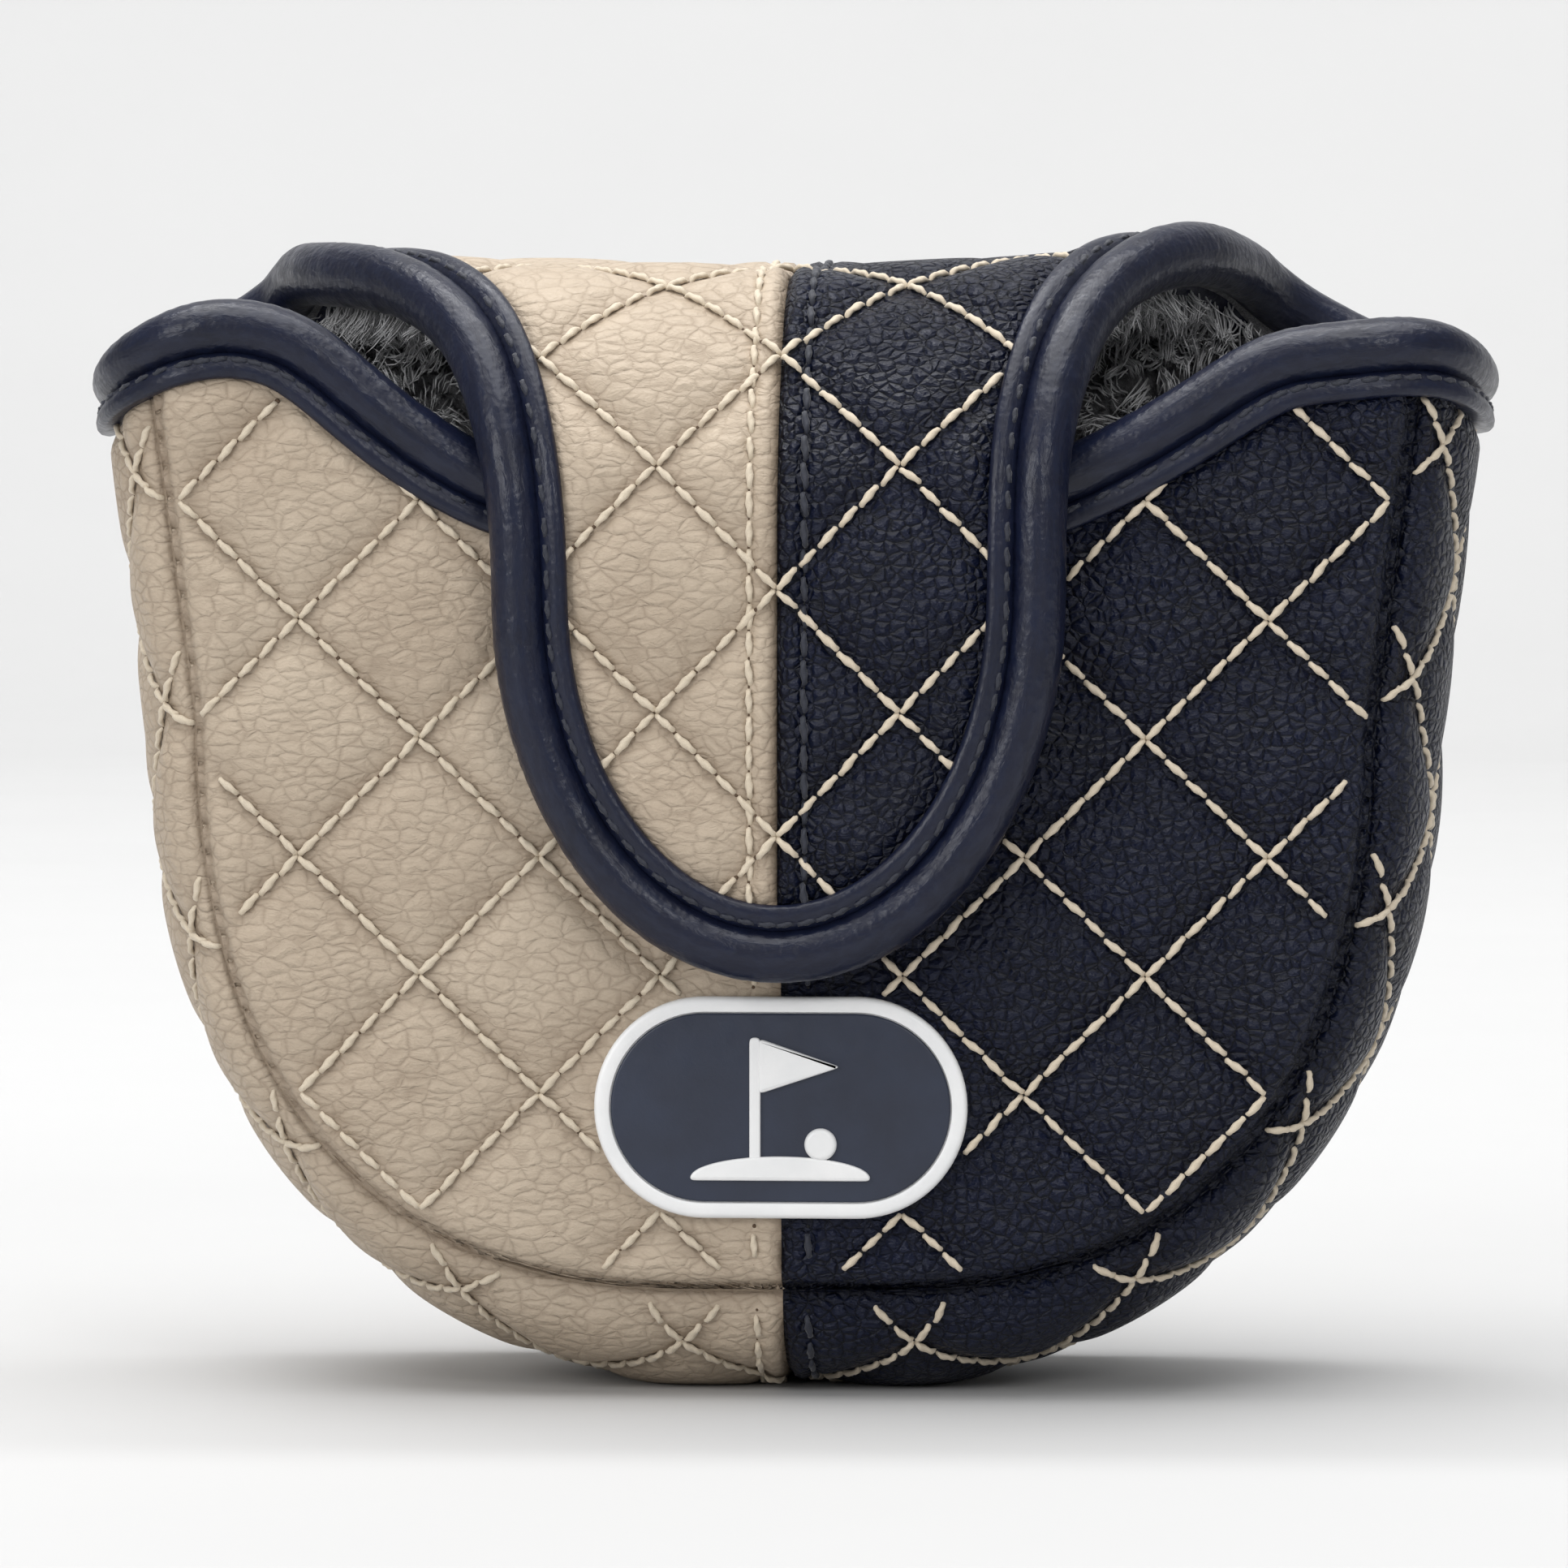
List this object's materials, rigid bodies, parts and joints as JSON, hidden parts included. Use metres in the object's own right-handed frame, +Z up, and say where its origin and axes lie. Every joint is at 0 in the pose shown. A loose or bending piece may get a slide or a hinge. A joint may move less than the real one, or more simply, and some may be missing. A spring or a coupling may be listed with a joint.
{
  "type": "putter head cover",
  "caption": "Half-moon mallet putter head cover in quilted two-tone leather, plush lined, with a soft flap that folds over its mouth and a rubber badge.",
  "frame": {"origin": "under the middle of the cover, on the surface it stands on", "axes": "+X across the cover to the navy side, +Y from the front to the back, +Z up"},
  "size_m": [0.1402, 0.0582, 0.1156],
  "materials": {
    "tan_leather": "satin pebble grain",
    "navy_leather": "satin pebble grain",
    "binding": "smooth, semi gloss",
    "padding": "matte foam",
    "plush": "plush pile",
    "badge_white": "satin",
    "badge_navy": "satin",
    "magnet": "plated"
  },
  "bodies": {
    "cover": {"front_panel_tan": "tan_leather", "front_panel_navy": "navy_leather", "back_panel_tan": "tan_leather", "back_panel_navy": "navy_leather", "gusset_tan": "tan_leather", "gusset_navy": "navy_leather", "front_foam": "padding", "back_foam": "padding", "gusset_foam": "padding", "front_lining": "plush", "back_lining": "plush", "gusset_lining": "plush", "mouth_binding": "binding", "badge_base": "badge_white", "badge_field": "badge_navy", "badge_emblem": "badge_white", "front_magnet": "magnet"},
    "flap_rear": {"flap_rear_tan": "tan_leather", "flap_rear_navy": "navy_leather", "flap_rear_foam": "padding", "flap_rear_lining": "plush", "flap_rear_binding_left": "binding", "flap_rear_binding_right": "binding"},
    "flap_front": {"flap_front_tan": "tan_leather", "flap_front_navy": "navy_leather", "flap_front_foam": "padding", "flap_front_lining": "plush", "flap_front_binding_left": "binding", "flap_front_binding_right": "binding"},
    "tongue": {"tongue_tan": "tan_leather", "tongue_navy": "navy_leather", "tongue_foam": "padding", "tongue_lining": "plush", "tongue_binding": "binding", "tongue_magnet": "magnet"}
  },
  "joints": [
    {"name": "root_fold", "type": "hinge", "parent": "cover", "child": "flap_rear", "pos_m": [0, 0.02925, 0.103], "axis": [-1, 0, 0], "range_deg": [0, 80]},
    {"name": "crown_fold", "type": "hinge", "parent": "flap_rear", "child": "flap_front", "pos_m": [0, 0.004, 0.11575], "axis": [-1, 0, 0], "range_deg": [0, 48]},
    {"name": "tongue_fold", "type": "hinge", "parent": "flap_front", "child": "tongue", "pos_m": [0, -0.02925, 0.0865], "axis": [-1, 0, 0], "range_deg": [0, 70]}
  ],
  "couplings": [
    {"joint": "crown_fold", "follows": "root_fold", "ratio": 0.6}
  ]
}
